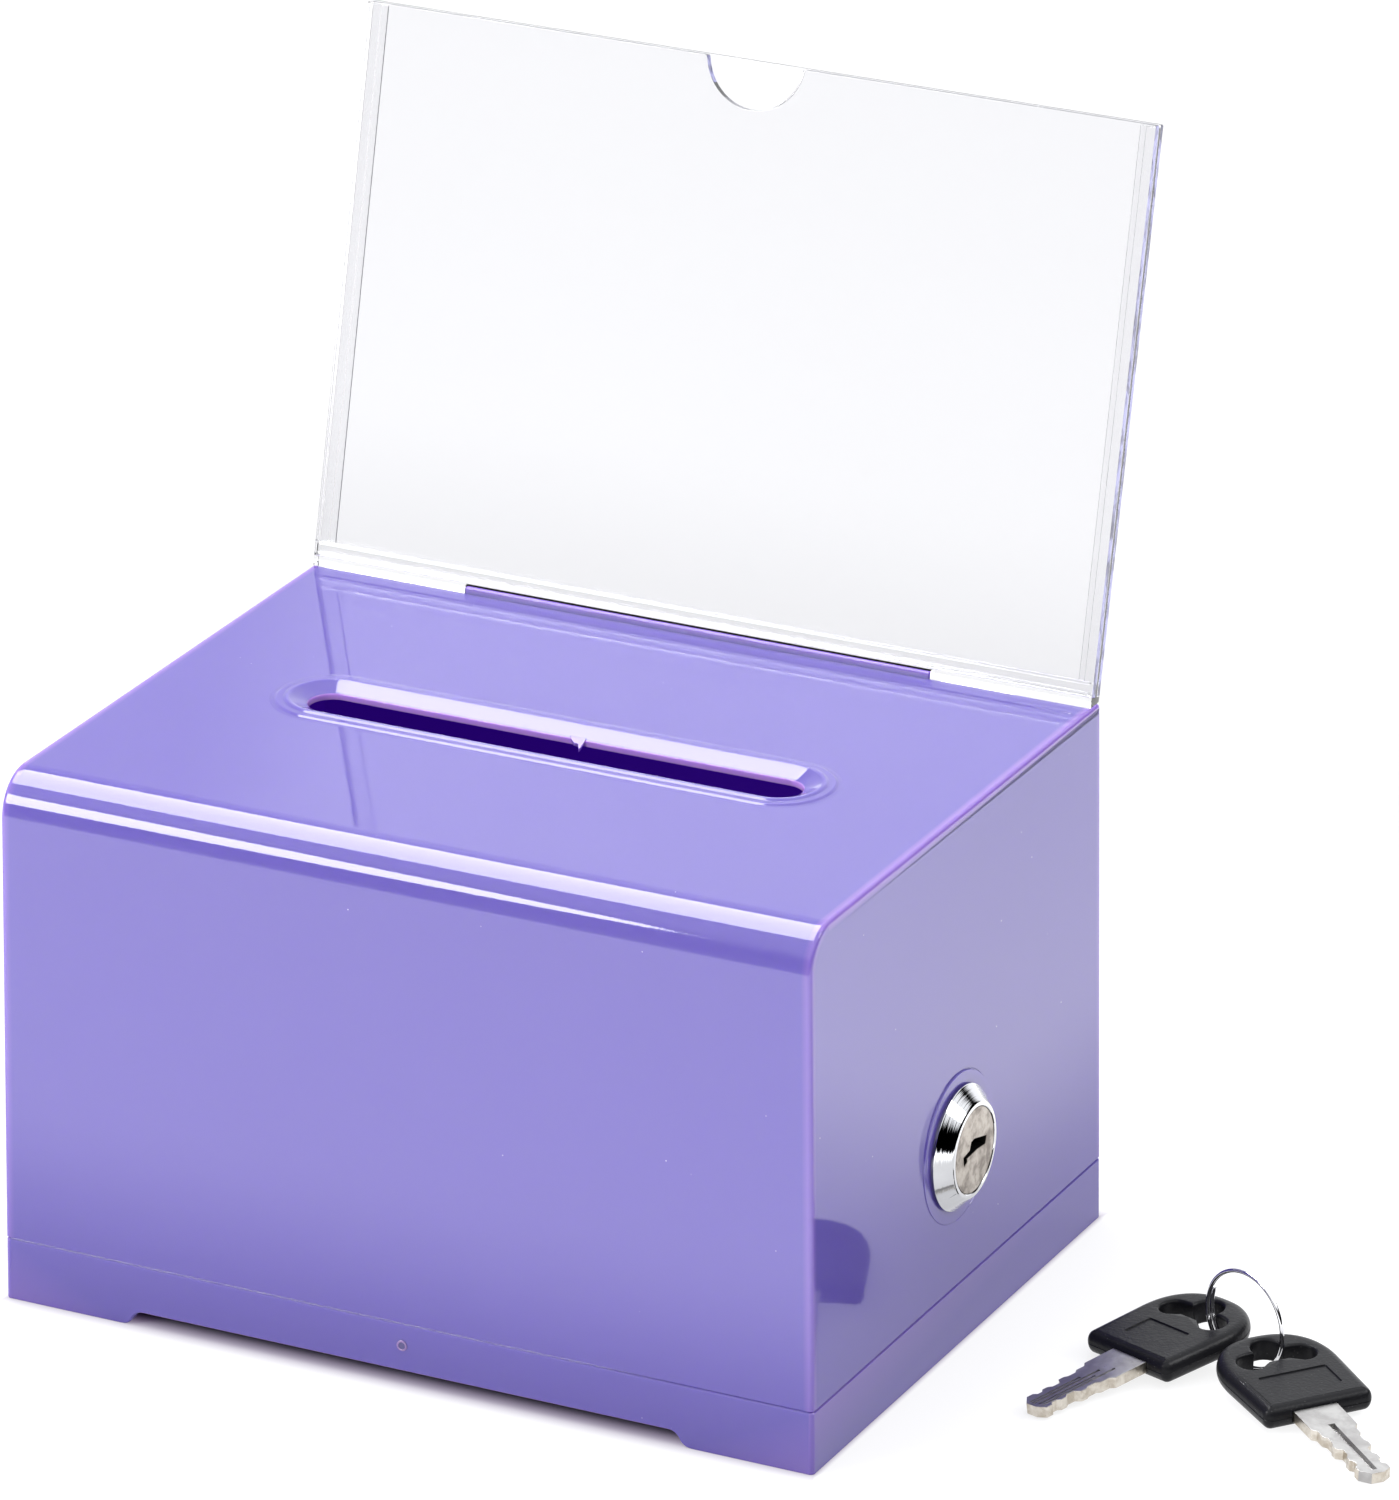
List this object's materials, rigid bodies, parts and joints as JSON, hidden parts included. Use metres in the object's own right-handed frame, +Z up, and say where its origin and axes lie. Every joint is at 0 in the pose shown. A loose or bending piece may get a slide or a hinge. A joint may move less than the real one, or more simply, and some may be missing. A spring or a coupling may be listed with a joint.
{
  "type": "donation box",
  "caption": "Countertop donation box: hinged violet box with a stadium-shaped note slot, clear leaning sign holder on the back edge, cam lock in the right wall, and two keys on a ring.",
  "frame": {"origin": "middle of the box's footprint, on the table", "axes": "+X to the box's right, where the lock is, +Y to the back, where the sign holder stands, +Z up"},
  "size_m": [0.2474, 0.141, 0.2003],
  "materials": {
    "violet_plastic": "glossy moulded violet, smooth",
    "clear_plastic": "clear, polished, faint lavender in the edges",
    "lock_chrome": "bright chrome plate",
    "lock_nickel": "dull nickel, slightly mottled",
    "wafer_brass": "plain stamped",
    "spring_steel": "plain",
    "plated_steel": "zinc plated",
    "ring_chrome": "bright nickel plate",
    "black_plastic": "satin black with fine specks",
    "key_nickel": "nickel plate, bare warm metal in the cuts"
  },
  "bodies": {
    "base": {"base_tray": "violet_plastic", "strike": "violet_plastic"},
    "shell": {"box_shell": "violet_plastic", "lock_housing": "lock_chrome", "lock_nut": "plated_steel", "lock_washer": "plated_steel"},
    "plug": {"lock_plug": "lock_nickel", "lock_wafers": "wafer_brass", "wafer_springs": "spring_steel", "lock_cam": "plated_steel", "stop_washer": "plated_steel", "cam_screw": "plated_steel"},
    "sign": {"sign_back_sheet": "clear_plastic", "sign_front_sheet": "clear_plastic", "sign_rail_left": "clear_plastic", "sign_rail_right": "clear_plastic", "sign_foot": "clear_plastic"},
    "ring": {"split_ring": "ring_chrome"},
    "key_a": {"key_a_bow": "black_plastic", "key_a_blade": "key_nickel"},
    "key_b": {"key_b_bow": "black_plastic", "key_b_blade": "key_nickel"}
  },
  "joints": [
    {"name": "lid_hinge", "type": "hinge", "parent": "base", "child": "shell", "pos_m": [-0.07935, 0, 0.0117], "axis": [0, -1, 0], "range_deg": [0, 75]},
    {"name": "lock_turn", "type": "hinge", "parent": "shell", "child": "plug", "pos_m": [0.08, -0.0008, 0.038], "axis": [-1, 0, 0], "range_deg": [0, 90]},
    {"name": "sign_lift", "type": "slide", "parent": "shell", "child": "sign", "axis": [0, 0.2351, 0.972], "range_m": [0, 0.012]},
    {"name": "ring_lift", "type": "slide", "parent": "base", "child": "ring", "axis": [0, 0, 1], "range_m": [0, 0.1]},
    {"name": "key_a_swing", "type": "hinge", "parent": "ring", "child": "key_a", "pos_m": [0.1283, 0.0121, 0.00954], "axis": [0.3567, 0.9342, 0], "range_deg": [0, 70]},
    {"name": "key_b_swing", "type": "hinge", "parent": "ring", "child": "key_b", "pos_m": [0.1283, 0.0121, 0.00954], "axis": [-0.3567, -0.9342, 0], "range_deg": [0, 70]}
  ]
}
